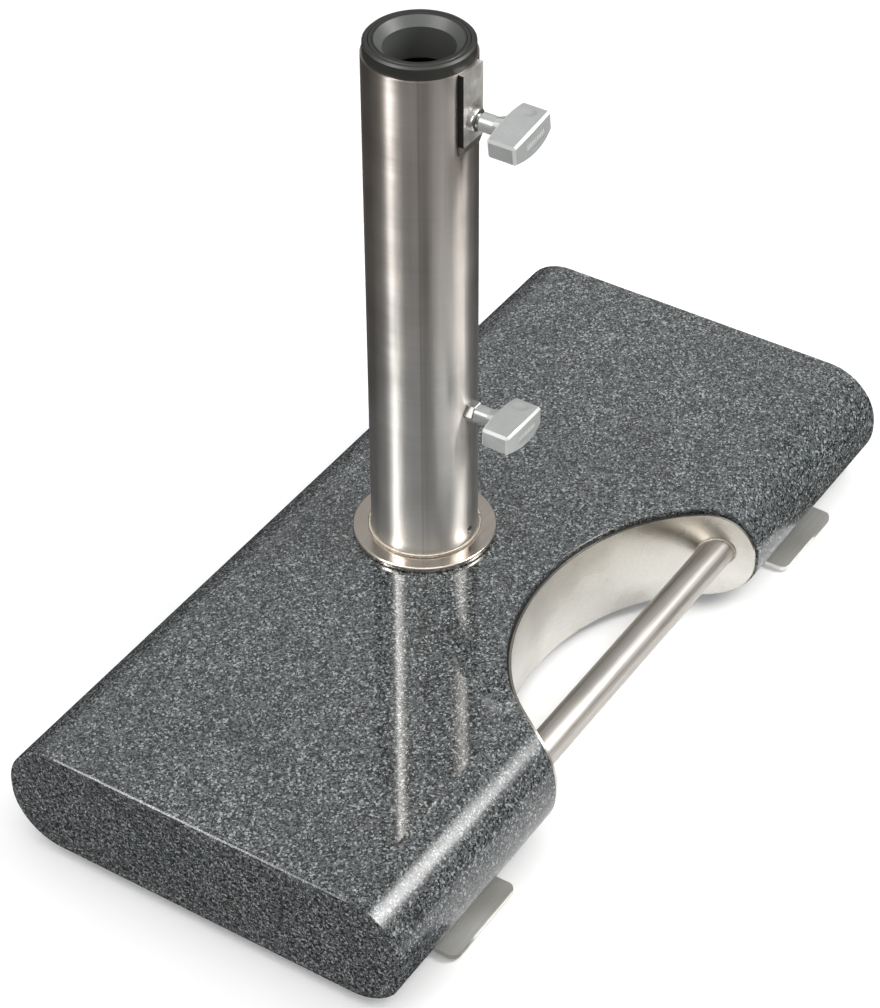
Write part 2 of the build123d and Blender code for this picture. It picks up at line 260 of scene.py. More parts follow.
def flatSheet(name, low, high, z, material):
    mesh = bpy.data.meshes.new(name)
    corners = [(low[0], low[1], z), (high[0], low[1], z), (high[0], high[1], z), (low[0], high[1], z)]
    mesh.from_pydata(corners, [], [(0, 1, 2, 3)])
    mesh.materials.append(material)
    sheet = bpy.data.objects.new(name, mesh)
    scene.collection.objects.link(sheet)
    return sheet


def makeStudio(values, panels):
    makeWorld(values)
    for name, centre, aim, width, height, watts, color, shape, dullToo in panels:
        data = bpy.data.lights.new(name, "AREA")
        data.shape = shape
        data.size = width
        data.size_y = height
        data.energy = watts
        data.color = color
        light = bpy.data.objects.new(name, data)
        light.visible_diffuse = dullToo
        light.matrix_world = Matrix.Translation(centre) @ turnedTo(Vector(centre) - Vector(aim))
        scene.collection.objects.link(light)
    material = bpy.data.materials.new("floorPaper")
    material.use_nodes = True
    shader = material.node_tree.nodes["Principled BSDF"]
    shader.inputs["Base Color"].default_value = (*values["floorColor"], 1.0)
    shader.inputs["Roughness"].default_value = values["floorRoughness"]
    shader.inputs["Emission Color"].default_value = (1.0, 1.0, 1.0, 1.0)
    shader.inputs["Emission Strength"].default_value = values["floorGlow"]
    reach = values["floorReach"] / 2
    floor = flatSheet("studioFloor", (-reach, -reach), (reach, reach), 0.0, material)
    floor.visible_glossy = False  # the steel shows the room instead
    flatSheet("studioPaper", values["paperLow"], values["paperHigh"], values["paperLift"], material)


makeStudio(studioValues, studioPanels)
scene.view_settings.view_transform = "Standard"
print("stage: studio")


def startMaterial(name):
    material = bpy.data.materials.new(name)
    material.use_nodes = True
    tree = material.node_tree
    tree.nodes.clear()
    output = tree.nodes.new("ShaderNodeOutputMaterial")
    shader = tree.nodes.new("ShaderNodeBsdfPrincipled")
    tree.links.new(shader.outputs["BSDF"], output.inputs["Surface"])
    return material, tree, shader


graniteValues = {
    "grainsPerMetre": 880,
    "finePerMetre": 1450,
    "cloudsPerMetre": 22,
    "spotsPerMetre": 24,
    "warpPerMetre": 420.0,
    "warpReach": 0.0011,
    "polishRoughness": 0.05,
    "honedRoughness": 0.24,
    "sawnRoughness": 0.34,
    "polishCoat": 0.9,
    "coatRoughness": 0.03,
    "blackMica": (0.004, 0.0045, 0.005),
    "darkGrey": (0.026, 0.028, 0.029),
    "midGrey": (0.064, 0.070, 0.073),
    "lightGrey": (0.128, 0.140, 0.145),
    "feldspar": (0.305, 0.330, 0.336),
    "mineralStarts": (0.00, 0.29, 0.40, 0.65, 0.885),  # darkest first
}


def makeGranite(values):
    material, tree, shader = startMaterial("polishedGranite")
    space = objectSpace(tree)
    warp = noise(tree, space, values["warpPerMetre"], 3.0)
    shifted = vectorCalc(tree, "MULTIPLY_ADD", warp, grey(values["warpReach"]), space)[0]
    grain = splitChannels(tree, cells(tree, shifted, values["grainsPerMetre"]))
    fine = splitChannels(tree, cells(tree, shifted, values["finePerMetre"]))
    minerals = [values[name] for name in ("blackMica", "darkGrey", "midGrey", "lightGrey", "feldspar")]
    stops = list(zip(values["mineralStarts"], minerals))
    coarse = ramp(tree, grain[0], stops, "CONSTANT")
    small = ramp(tree, fine[1], stops, "CONSTANT")
    mottled = mixColor(tree, remap(tree, grain[2], 0.55, 0.60, 0.06, 0.94), coarse, small)
    clouds = noise(tree, space, values["cloudsPerMetre"], 4.0)
    shade = ramp(tree, clouds, [(0.32, (0.86, 0.87, 0.88)), (0.68, (1.12, 1.11, 1.10))])
    color = tinted(tree, mottled, shade)
    spots = cells(tree, shifted, values["spotsPerMetre"], "Distance")
    color = mixColor(tree, remap(tree, spots, 0.04, 0.085, 0.6, 0.0), color, values["blackMica"])
    tree.links.new(color, shader.inputs["Base Color"])
    facing = splitAxes(tree, tree.nodes.new("ShaderNodeNewGeometry").outputs["Normal"])
    sawn = remap(tree, calc(tree, "ABSOLUTE", facing[0]), 0.75, 0.95, 0.0, 1.0)
    downward = remap(tree, facing[2], -0.97, -0.9, 1.0, 0.0)
    rough = calc(tree, "MAXIMUM", sawn, downward)
    micro = remap(tree, grain[1], 0.0, 1.0, -0.015, 0.02)
    honed = remap(tree, facing[2], 0.90, 0.992, 1.0, 0.0)  # rounded edges are less polished than the top
    level = remap(tree, honed, 0.0, 1.0, values["polishRoughness"], values["honedRoughness"])
    level = calc(tree, "MAXIMUM", level, remap(tree, rough, 0.0, 1.0, 0.0, values["sawnRoughness"]))
    tree.links.new(calc(tree, "ADD", level, micro), shader.inputs["Roughness"])
    pits = cells(tree, shifted, values["finePerMetre"], "Distance")
    height = calc(tree, "MULTIPLY", pits, calc(tree, "GREATER_THAN", fine[2], 0.8))
    tree.links.new(bump(tree, height, 0.06, 0.0004), shader.inputs["Normal"])
    shader.inputs["IOR"].default_value = 1.55
    tree.links.new(remap(tree, honed, 0.0, 1.0, values["polishCoat"], 0.0), shader.inputs["Coat Weight"])
    shader.inputs["Coat Roughness"].default_value = values["coatRoughness"]
    return material


tubeSteelValues = {
    "color": (0.600, 0.590, 0.570),
    "streakDark": 0.96,
    "streakLight": 1.03,
    "roughness": 0.36,
    "anisotropy": 0.985,
    "spread": 0.25,
    "axis": "Z",
    "linesPerMetre": (14, 14, 1500),
    "bandsPerMetre": (90, 90, 2.2),
    # a thin dark painted reflection line down the side of the tube that faces the camera
    "reflectionLineDegrees": -148.5,
    "reflectionLineWidth": 0.0006,
    "reflectionLineShade": 0.80,
    # above these heights the tube turns darker and warmer, and noise wobbles the boundary
    "upperTintHeights": (0.20, 0.40),
    "upperTint": (0.90, 0.845, 0.82),
    "upperTintWobblePerMetre": 24.0,
    "upperTintWobble": 0.12,
    # near-black painted shade on the tube's inner wall
    "paintedInsideShade": (0.02, 0.019, 0.018),
}
barSteelValues = {
    "color": (0.51, 0.488, 0.455),
    "streakDark": 0.80,
    "streakLight": 1.08,
    "roughness": 0.40,
    "anisotropy": 0.20,
    "spread": 0.0,
    "axis": "X",
    "linesPerMetre": (8, 900, 900),
    "bandsPerMetre": (2.2, 30, 30),
}


# paints onto the tube a dark reflection line facing the camera, a darker and warmer tone higher up, and near-black
# painted shade on the inner wall
def paintTubeShade(tree, color, values):
    x, y, z = splitAxes(tree, coordinates(tree, "Object"))
    across = calc(tree, "SUBTRACT", x, tubeX)
    along = calc(tree, "SUBTRACT", y, tubeY)
    # painted reflection: a thin dark line down the side of the tube that faces the camera
    reflectionLineAngle = math.radians(values["reflectionLineDegrees"])
    sine, cosine = math.sin(reflectionLineAngle), math.cos(reflectionLineAngle)
    aside = calc(tree, "SUBTRACT", calc(tree, "MULTIPLY", across, sine), calc(tree, "MULTIPLY", along, cosine))
    outward = calc(tree, "ADD", calc(tree, "MULTIPLY", across, cosine), calc(tree, "MULTIPLY", along, sine))
    width = values["reflectionLineWidth"]
    near = remap(tree, calc(tree, "ABSOLUTE", aside), width * 0.3, width, 1.0, 0.0)
    reflectionLineMask = calc(tree, "MULTIPLY", near, calc(tree, "GREATER_THAN", outward, 0.0))
    color = mixColor(tree, reflectionLineMask, color, tinted(tree, color, grey(values["reflectionLineShade"])))
    # the tube turns darker and warmer above the given heights
    drift = values["upperTintWobble"]
    cloud = calc(tree, "MULTIPLY", noise(tree, objectSpace(tree), values["upperTintWobblePerMetre"], 3.0), drift)
    low, high = values["upperTintHeights"]
    upperTintMask = remap(tree, calc(tree, "ADD", z, cloud), low + drift / 2, high + drift / 2, 0.0, 1.0)
    color = mixColor(tree, upperTintMask, color, tinted(tree, color, values["upperTint"]))
    # the inner wall gets near-black painted shade
    return mixColor(tree, inwardFacing(tree, tubeX, tubeY), color, values["paintedInsideShade"])


def makeBrushedSteel(name, values):
    material, tree, shader = startMaterial(name)
    lines = noise(tree, objectSpace(tree, values["linesPerMetre"]), 1.0, 4.0, 0.62)
    wide = noise(tree, objectSpace(tree, tuple(s * 0.12 for s in values["linesPerMetre"])), 1.0, 2.0)
    clouds = noise(tree, objectSpace(tree), 30.0, 3.0)
    streaks = [(0.28, grey(values["streakDark"])), (0.72, grey(values["streakLight"]))]
    color = tinted(tree, values["color"], ramp(tree, lines, streaks))
    color = tinted(tree, color, ramp(tree, wide, [(0.3, grey(0.98)), (0.7, grey(1.015))]))
    bands = noise(tree, objectSpace(tree, values["bandsPerMetre"]), 1.0, 3.0)
    color = tinted(tree, color, ramp(tree, bands, [(0.36, (0.80, 0.775, 0.75)), (0.60, grey(1.02))]))
    # only the tube gets the painted reflection line, the darker top and the painted shade inside
    if "reflectionLineDegrees" in values:
        color = paintTubeShade(tree, color, values)
    tree.links.new(color, shader.inputs["Base Color"])
    shader.inputs["Metallic"].default_value = 1.0
    level = values["roughness"]
    worn = remap(tree, clouds, 0.3, 0.7, level - 0.035, level + 0.045)
    fineRough = remap(tree, lines, 0.3, 0.7, -0.03, 0.03)
    tree.links.new(calc(tree, "ADD", worn, fineRough), shader.inputs["Roughness"])
    tree.links.new(bump(tree, lines, 0.04, 0.0001), shader.inputs["Normal"])
    shader.inputs["Anisotropic"].default_value = values["anisotropy"]
    shader.inputs["Anisotropic Rotation"].default_value = values["spread"]
    tangent = tree.nodes.new("ShaderNodeTangent")
    tangent.direction_type = "RADIAL"
    tangent.axis = values["axis"]
    tree.links.new(tangent.outputs["Tangent"], shader.inputs["Tangent"])
    return material


satinSteelValues = {  # the four satin pieces start from these
    "color": (0.66, 0.645, 0.615),
    "roughness": 0.30,
    "metal": 1.0,
    "linesPerMetre": (18, 1300, 1300),
    "cloudsPerMetre": 26,
    "cloudDark": (0.95, 0.94, 0.91),
    "relief": 0.12,
}
flangeValues = {**satinSteelValues, "color": (0.60, 0.550, 0.500), "roughness": 0.20}
linerValues = {
    **satinSteelValues,
    "color": (0.66, 0.65, 0.62),
    "roughness": 0.24,
    "cloudsPerMetre": 13,
    "cloudDark": (0.56, 0.545, 0.515),
    "relief": 0.02,
    # painted shade: the lining darkens towards its rim and is lightened slightly lower down
    "rimHeights": (0.045, 0.095),
    "rimPaintedShade": (0.66, 0.63, 0.58),
}
plateValues = {
    **satinSteelValues,
    "color": (0.80, 0.785, 0.765),
    "roughness": 0.22,
    "metal": 0.6,
    "linesPerMetre": (1300, 1300, 18),
    "cloudsPerMetre": 75,
    "cloudDark": (0.42, 0.41, 0.39),
    # near-black painted shade on the side faces, and pale painted highlights on the chamfered edges
    "sidePaintedShade": (0.025, 0.024, 0.022),
    "edgePaintedHighlight": (0.92, 0.92, 0.90),
}
stripValues = {**satinSteelValues, "color": (0.82, 0.81, 0.78), "roughness": 0.38, "metal": 0.75}


def makeSatinSteel(name, values):
    material, tree, shader = startMaterial(name)
    lines = noise(tree, objectSpace(tree, values["linesPerMetre"]), 1.0, 3.0, 0.6)
    clouds = noise(tree, objectSpace(tree), values["cloudsPerMetre"], 4.0)
    marks = noise(tree, objectSpace(tree), 190.0, 3.0)
    streaks = ramp(tree, lines, [(0.3, (0.92, 0.92, 0.91)), (0.7, (1.05, 1.05, 1.04))])
    color = tinted(tree, values["color"], streaks)
    color = tinted(tree, color, ramp(tree, clouds, [(0.35, values["cloudDark"]), (0.62, grey(1.02))]))
    # painted shade band, darker towards the lining's rim
    if "rimHeights" in values:
        height = splitAxes(tree, coordinates(tree, "Object"))[2]
        height = calc(tree, "ADD", height, calc(tree, "MULTIPLY", clouds, 0.03))
        toRim = remap(tree, height, *values["rimHeights"], 0.0, 1.0)
        color = tinted(tree, color, ramp(tree, toRim, [(0.0, grey(1.05)), (1.0, values["rimPaintedShade"])]))
    # painted shade on the side faces, painted highlights on the chamfers
    if "sidePaintedShade" in values:
        across = splitAxes(tree, coordinates(tree, "Normal"))[0]
        side = remap(tree, calc(tree, "ABSOLUTE", across), 0.86, 0.94, 0.0, 1.0)
        # pale painted highlight on chamfers and rounded edges
        color = mixColor(tree, slanted(tree, 0.08, 0.2), color, values["edgePaintedHighlight"])
        color = mixColor(tree, side, color, values["sidePaintedShade"])
    tree.links.new(color, shader.inputs["Base Color"])
    shader.inputs["Metallic"].default_value = values["metal"]
    level = values["roughness"]
    tree.links.new(remap(tree, clouds, 0.3, 0.7, level - 0.06, level + 0.08), shader.inputs["Roughness"])
    rough = calc(tree, "ADD", lines, calc(tree, "MULTIPLY", marks, 0.4))
    tree.links.new(bump(tree, rough, values["relief"], 0.0002), shader.inputs["Normal"])
    return material


boltSteelValues = {"color": (0.50, 0.50, 0.49), "roughness": 0.30}
weldSteelValues = {"color": (0.40, 0.365, 0.325), "roughness": 0.40}
brassValues = {"color": (0.62, 0.47, 0.22), "roughness": 0.28}


def makeTurnedMetal(name, values):
    material, tree, shader = startMaterial(name)
    grain = noise(tree, objectSpace(tree), 900.0, 3.0)
    blotch = noise(tree, objectSpace(tree), 160.0, 3.0)
    color = tinted(tree, values["color"], ramp(tree, grain, [(0.3, grey(0.88)), (0.7, (1.1, 1.1, 1.08))]))
    tree.links.new(color, shader.inputs["Base Color"])
    shader.inputs["Metallic"].default_value = 1.0
    level = values["roughness"]
    tree.links.new(remap(tree, blotch, 0.3, 0.7, level - 0.07, level + 0.1), shader.inputs["Roughness"])
    tree.links.new(bump(tree, grain, 0.12, 0.0001), shader.inputs["Normal"])
    return material


gripPlasticValues = {
    "color": (0.320, 0.332, 0.326),
    # pale painted highlight on the chamfers
    "edgePaintedHighlight": (0.68, 0.69, 0.68),
    "roughness": 0.33,
    "specklesPerMetre": 1900,
    "texture": 0.05,
    "coat": 0.15,
}
# the ribs are the grip's plastic, painted pale as a highlight on the raised ribs
ribHighlightPlasticValues = {
    "color": (0.66, 0.67, 0.66),
    "roughness": 0.36,
    "specklesPerMetre": 1900,
    "texture": 0.05,
    "coat": 0.1,
}
sleevePlasticValues = {
    "color": (0.017, 0.0175, 0.0145),
    # the bore is painted lighter than the rest, a painted reflection inside it
    "borePaintedLight": (0.082, 0.087, 0.082),
    "roughness": 0.46,
    "specklesPerMetre": 2100,
    "texture": 0.06,
    "coat": 0.0,
}
padPlasticValues = {
    "color": (0.018, 0.018, 0.018),
    "roughness": 0.42,
    "specklesPerMetre": 1600,
    "texture": 0.10,
    "coat": 0.0,
}
rubberValues = {
    "color": (0.014, 0.014, 0.014),
    "roughness": 0.62,
    "specklesPerMetre": 1100,
    "texture": 0.2,
    "coat": 0.0,
}
sealantValues = {
    "color": (0.020, 0.020, 0.021),
    "roughness": 0.45,
    "specklesPerMetre": 300,
    "texture": 0.3,
    "coat": 0.0,
}


def makeMoulded(name, values):
    material, tree, shader = startMaterial(name)
    space = objectSpace(tree)
    speckle = noise(tree, space, values["specklesPerMetre"], 3.0)
    flow = noise(tree, space, 60.0, 3.0)
    color = tinted(tree, values["color"], ramp(tree, speckle, [(0.3, grey(0.90)), (0.7, grey(1.10))]))
    color = tinted(tree, color, ramp(tree, flow, [(0.35, grey(0.95)), (0.65, grey(1.05))]))
    # pale painted highlight on chamfers and rounded edges
    if "edgePaintedHighlight" in values:
        color = mixColor(tree, slanted(tree, 0.17, 0.26), color, values["edgePaintedHighlight"])
    # painted reflection: the inward-facing bore is lighter
    if "borePaintedLight" in values:
        color = mixColor(tree, inwardFacing(tree, tubeX, tubeY), color, values["borePaintedLight"])
    tree.links.new(color, shader.inputs["Base Color"])
    level = values["roughness"]
    tree.links.new(remap(tree, flow, 0.3, 0.7, level - 0.05, level + 0.07), shader.inputs["Roughness"])
    tree.links.new(bump(tree, speckle, values["texture"], 0.0003), shader.inputs["Normal"])
    shader.inputs["Coat Weight"].default_value = values["coat"]
    shader.inputs["Coat Roughness"].default_value = 0.12
    return material


granite = makeGranite(graniteValues)
tubeSteel = makeBrushedSteel("tubeBrushedSteel", tubeSteelValues)
barSteel = makeBrushedSteel("barBrushedSteel", barSteelValues)
flangeSteel = makeSatinSteel("flangeSatinSteel", flangeValues)
linerSteel = makeSatinSteel("liningSatinSteel", linerValues)
plateSteel = makeSatinSteel("plateSatinSteel", plateValues)
stripSteel = makeSatinSteel("stripSatinSteel", stripValues)
boltSteel = makeTurnedMetal("turnedZincSteel", boltSteelValues)
weldSteel = makeTurnedMetal("weldSteel", weldSteelValues)
brass = makeTurnedMetal("turnedBrass", brassValues)
gripPlastic = makeMoulded("gripPlastic", gripPlasticValues)
ribHighlightPlastic = makeMoulded("gripRibHighlightPlastic", ribHighlightPlasticValues)
sleevePlastic = makeMoulded("sleevePlastic", sleevePlasticValues)
padPlastic = makeMoulded("padPlastic", padPlasticValues)
rubber = makeMoulded("footRubber", rubberValues)
sealant = makeMoulded("sealantBead", sealantValues)

corners = [side + "_" + end for side in ("left", "right") for end in ("front", "back")]
finishes = {
    "granite_slab": granite,
    "stand_tube": tubeSteel,
    "handle_bar": barSteel,
    "base_flange": flangeSteel,
    "recess_liner": linerSteel,
    "clamp_plate": plateSteel,
    "clamp_plate_weld": weldSteel,
    "flange_weld": weldSteel,
    "mounting_bolt": boltSteel,
    "bolt_washer": boltSteel,
    "bolt_nut": boltSteel,
    "flange_gasket": rubber,
    "liner_sealant": sealant,
}
for level in ("upper", "lower"):
    finishes[level + "_weld_nut"] = boltSteel
    finishes[level + "_spindle"] = boltSteel
    finishes[level + "_grip"] = gripPlastic
    finishes[level + "_pressure_pad"] = padPlastic
for ring in ("outer", "middle", "inner"):
    finishes[ring + "_sleeve"] = sleevePlastic
for side in ("left", "right"):
    finishes[side + "_handle_weld"] = weldSteel
    finishes[side + "_liner_dowel"] = boltSteel
    finishes[side + "_foot_strip"] = stripSteel
    finishes[side + "_strip_cushion"] = rubber
for corner in corners:
    finishes[corner + "_foot_screw"] = boltSteel
    finishes[corner + "_anchor_insert"] = brass
    finishes[corner + "_foot_pad"] = rubber
for name, node in nodes.items():
    node.data.materials.clear()
    node.data.materials.append(finishes[name])
print("stage: finishes")


def placed(name, mesh, material, body, *replaced):
    piece = bpy.data.objects.new(name, mesh)
    mesh.materials.clear()
    mesh.materials.append(material)
    scene.collection.objects.link(piece)
    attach(piece, body)
    if replaced:
        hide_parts(*replaced)


def smoothBy(mesh, degrees):
    for face in mesh.polygons:
        face.use_smooth = True
    mesh.set_sharp_from_angle(angle=math.radians(degrees))


def lathe(name, outline, steps):
    shape = bmesh.new()
    rings = []
    for radius, height in outline:
        if radius == 0:
            rings.append([shape.verts.new((0, 0, height))])
            continue
        ring = []
        for k in range(steps):
            a = 2 * math.pi * k / steps
            ring.append(shape.verts.new((radius * math.cos(a), radius * math.sin(a), height)))
        rings.append(ring)
    for below, above in zip(rings, rings[1:]):
        for k in range(steps):
            nextK = (k + 1) % steps
            if len(below) == 1:
                shape.faces.new((below[0], above[nextK], above[k]))
            elif len(above) == 1:
                shape.faces.new((below[k], below[nextK], above[0]))
            else:
                shape.faces.new((below[k], below[nextK], above[nextK], above[k]))
    bmesh.ops.recalc_face_normals(shape, faces=shape.faces)
    mesh = bpy.data.meshes.new(name)
    shape.to_mesh(mesh)
    shape.free()
    smoothBy(mesh, 35)
    return mesh


def startTree(name, inputs):
    tree = bpy.data.node_groups.new(name, "GeometryNodeTree")
    tree.interface.new_socket(name="Geometry", in_out="INPUT", socket_type="NodeSocketGeometry")
    keys = {}
    for label, kind in inputs:
        socket = tree.interface.new_socket(name=label, in_out="INPUT", socket_type="NodeSocket" + kind)
        keys[label] = socket.identifier
    tree.interface.new_socket(name="Geometry", in_out="OUTPUT", socket_type="NodeSocketGeometry")
    given = tree.nodes.new("NodeGroupInput")
    result = tree.nodes.new("NodeGroupOutput")
    return tree, keys, given, result


def finishTree(tree, given, result, shapes):
    join = tree.nodes.new("GeometryNodeJoinGeometry")
    for shape in shapes:
        tree.links.new(shape, join.inputs[0])
    realize = tree.nodes.new("GeometryNodeRealizeInstances")
    paint = tree.nodes.new("GeometryNodeSetMaterial")
    tree.links.new(join.outputs[0], realize.inputs[0])
    tree.links.new(realize.outputs[0], paint.inputs["Geometry"])
    tree.links.new(given.outputs["Finish"], paint.inputs["Material"])
    tree.links.new(paint.outputs[0], result.inputs[0])


def makeBeadTree():
    tree, keys, given, result = startTree("weldBead", [
        ("Pitch", "Float"), ("Radius", "Float"), ("Flatness", "Float"), ("Seed", "Int"), ("Finish", "Material"),
    ])
    link = tree.links.new
    resample = tree.nodes.new("GeometryNodeResampleCurve")
    resample.mode = "LENGTH"
    link(given.outputs["Geometry"], resample.inputs["Curve"])
    link(given.outputs["Pitch"], resample.inputs["Length"])
    drop = tree.nodes.new("GeometryNodeMeshUVSphere")
    drop.inputs["Segments"].default_value = 12
    drop.inputs["Rings"].default_value = 8
    link(given.outputs["Radius"], drop.inputs["Radius"])
    tangent = tree.nodes.new("GeometryNodeInputTangent")
    align = tree.nodes.new("FunctionNodeAlignRotationToVector")
    align.axis = "Z"
    link(tangent.outputs[0], align.inputs["Vector"])
    vary = tree.nodes.new("FunctionNodeRandomValue")
    vary.data_type = "FLOAT"
    vary.inputs[2].default_value = 0.90  # smallest and largest drop
    vary.inputs[3].default_value = 1.06
    link(given.outputs["Seed"], vary.inputs["Seed"])
    thin = calc(tree, "MULTIPLY", vary.outputs[1], given.outputs["Flatness"])
    size = tree.nodes.new("ShaderNodeCombineXYZ")
    link(vary.outputs[1], size.inputs[0])
    link(vary.outputs[1], size.inputs[1])
    link(thin, size.inputs[2])
    scatter = tree.nodes.new("GeometryNodeInstanceOnPoints")
    link(resample.outputs["Curve"], scatter.inputs["Points"])
    link(drop.outputs["Mesh"], scatter.inputs["Instance"])
    link(align.outputs[0], scatter.inputs["Rotation"])
    link(size.outputs[0], scatter.inputs["Scale"])
    ring = tree.nodes.new("GeometryNodeCurvePrimitiveCircle")
    ring.inputs["Resolution"].default_value = 10
    link(calc(tree, "MULTIPLY", given.outputs["Radius"], 0.86), ring.inputs["Radius"])
    sweep = tree.nodes.new("GeometryNodeCurveToMesh")
    link(resample.outputs["Curve"], sweep.inputs["Curve"])
    link(ring.outputs["Curve"], sweep.inputs["Profile Curve"])
    sweep.inputs["Fill Caps"].default_value = True
    finishTree(tree, given, result, [scatter.outputs["Instances"], sweep.outputs["Mesh"]])
    return tree, keys


def makeThreadTree():
    tree, keys, given, result = startTree("screwThread", [
        ("Turns", "Float"), ("Length", "Float"), ("Radius", "Float"), ("Ridge", "Float"), ("Finish", "Material"),
    ])
    link = tree.links.new
    spiral = tree.nodes.new("GeometryNodeCurveSpiral")
    spiral.inputs["Resolution"].default_value = 28
    link(given.outputs["Turns"], spiral.inputs["Rotations"])
    link(given.outputs["Radius"], spiral.inputs["Start Radius"])
    link(given.outputs["Radius"], spiral.inputs["End Radius"])
    link(given.outputs["Length"], spiral.inputs["Height"])
    upright = tree.nodes.new("GeometryNodeSetCurveNormal")
    upright.mode = "Z_UP"
    link(spiral.outputs[0], upright.inputs["Curve"])
    ridge = tree.nodes.new("GeometryNodeCurvePrimitiveCircle")
    ridge.inputs["Resolution"].default_value = 4
    link(given.outputs["Ridge"], ridge.inputs["Radius"])
    sweep = tree.nodes.new("GeometryNodeCurveToMesh")
    link(upright.outputs[0], sweep.inputs["Curve"])
    link(ridge.outputs["Curve"], sweep.inputs["Profile Curve"])
    sweep.inputs["Fill Caps"].default_value = True
    finishTree(tree, given, result, [given.outputs["Geometry"], sweep.outputs["Mesh"]])
    return tree, keys


def makeRibTree():
    tree, keys, given, result = startTree("ribRow", [
        ("Count", "Int"), ("First", "Vector"), ("Step", "Vector"), ("Size", "Vector"), ("Finish", "Material"),
    ])
    link = tree.links.new
    row = tree.nodes.new("GeometryNodeMeshLine")
    row.mode = "OFFSET"
    link(given.outputs["Count"], row.inputs["Count"])
    link(given.outputs["First"], row.inputs["Start Location"])
    link(given.outputs["Step"], row.inputs["Offset"])
    rib = tree.nodes.new("GeometryNodeMeshUVSphere")
    rib.inputs["Segments"].default_value = 20
    rib.inputs["Rings"].default_value = 12
    rib.inputs["Radius"].default_value = 1.0
    scatter = tree.nodes.new("GeometryNodeInstanceOnPoints")
    link(row.outputs["Mesh"], scatter.inputs["Points"])
    link(rib.outputs["Mesh"], scatter.inputs["Instance"])
    link(given.outputs["Size"], scatter.inputs["Scale"])
    finishTree(tree, given, result, [given.outputs["Geometry"], scatter.outputs["Instances"]])
    return tree, keys


def bakeTree(name, base, treeAndKeys, values, turn=None):
    tree, keys = treeAndKeys
    carrier = bpy.data.objects.new(name + "Carrier", base)
    scene.collection.objects.link(carrier)
    modifier = carrier.modifiers.new("make", "NODES")
    modifier.node_group = tree
    for label, value in values.items():
        modifier[keys[label]] = value
    depsgraph = bpy.context.evaluated_depsgraph_get()
    mesh = bpy.data.meshes.new_from_object(carrier.evaluated_get(depsgraph))
    carrier.modifiers.remove(modifier)
    bpy.data.objects.remove(carrier)
    mesh.name = name
    if turn is not None:
        mesh.transform(turn)
    return mesh


def closedPath(name, points):
    curve = bpy.data.curves.new(name, "CURVE")
    curve.dimensions = "3D"
    spline = curve.splines.new("POLY")
    spline.points.add(len(points) - 1)
    for point, place in zip(spline.points, points):
        point.co = (*place, 1.0)
    spline.use_cyclic_u = True
    return curve


beadTree = makeBeadTree()
threadTree = makeThreadTree()
ribTree = makeRibTree()


flangeBead = {
    "pitch": 0.00125,
    "radius": 0.0014,
    "flatness": 0.62,
    "seed": 3,
    "steps": 180,
    "out": 0.0008,
    "up": 0.0008,
}
barBead = {
    "pitch": 0.0011,
    "radius": 0.0009,
    "flatness": 0.62,
    "seed": 11,
    "out": 0.25,  # of the bead's radius
    "inset": 0.0004,
}


def layBead(name, points, values):
    mesh = bakeTree(name, closedPath(name + "Path", points), beadTree, {
        "Pitch": values["pitch"], "Radius": values["radius"], "Flatness": values["flatness"],
        "Seed": values["seed"], "Finish": weldSteel,
    })
    smoothBy(mesh, 60)
    return mesh


def makeFlangeBead(values):
    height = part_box("flange_weld")[0].z + values["up"]
    radius = (tubeHigh.x - tubeLow.x) / 2 + values["out"]
    points = []
    for k in range(values["steps"]):
        a = 2 * math.pi * k / values["steps"]
        points.append((tubeX + radius * math.cos(a), tubeY + radius * math.sin(a), height))
    placed("flangeWeldBead", layBead("flangeWeldBead", points, values), weldSteel, "stand", "flange_weld")


def makeBarBeads(values):
    bar = nodes["handle_bar"].data
    low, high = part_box("handle_bar")
    centreY, centreZ = (low.y + high.y) / 2, (low.z + high.z) / 2
    radius = (high.z - low.z) / 2
    for side, node in ((-1, "left_handle_weld"), (1, "right_handle_weld")):
        reach = {}  # furthest point of the bar's wall at each angle
        for vertex in bar.vertices:
            x, y, z = vertex.co
            if side * x < 0 or math.hypot(y - centreY, z - centreZ) < radius * 0.99:
                continue
            key = round(math.degrees(math.atan2(z - centreZ, y - centreY)))
            if key not in reach or side * x > side * reach[key][0]:
                reach[key] = (x, y, z)
        grow = 1 + values["out"] * values["radius"] / radius
        points = []
        for key in sorted(reach):
            x, y, z = reach[key]
            x -= side * values["inset"]
            points.append((x, centreY + (y - centreY) * grow, centreZ + (z - centreZ) * grow))
        placed(node + "_bead", layBead(node + "Bead", points, values), weldSteel, "stand", node)


makeFlangeBead(flangeBead)
makeBarBeads(barBead)
print("stage: welds")


screwValues = {
    "radius": 0.0040,
    "rootDepth": 0.00062,
    "pitch": 0.00125,
    "shoulder": 0.0006,
    "noseLength": 0.002,
    "noseRadius": 0.0025,
    "noseChamfer": 0.0003,
}
ribValues = {
    "count": 11,
    "spacing": 0.00158,
    "width": 0.00042,
    "height": 0.0018,
    "raise": 0.00042,
    "floor": 0.0005,
    "gripTurns": {"upper": 7.0, "lower": -1.0},  # degrees
}
axisHeights = {}
for joint in frame["joints"]:
    if joint["name"].endswith("knob_turn"):
        axisHeights[joint["name"].split("_")[0]] = joint["pos_m"][2]


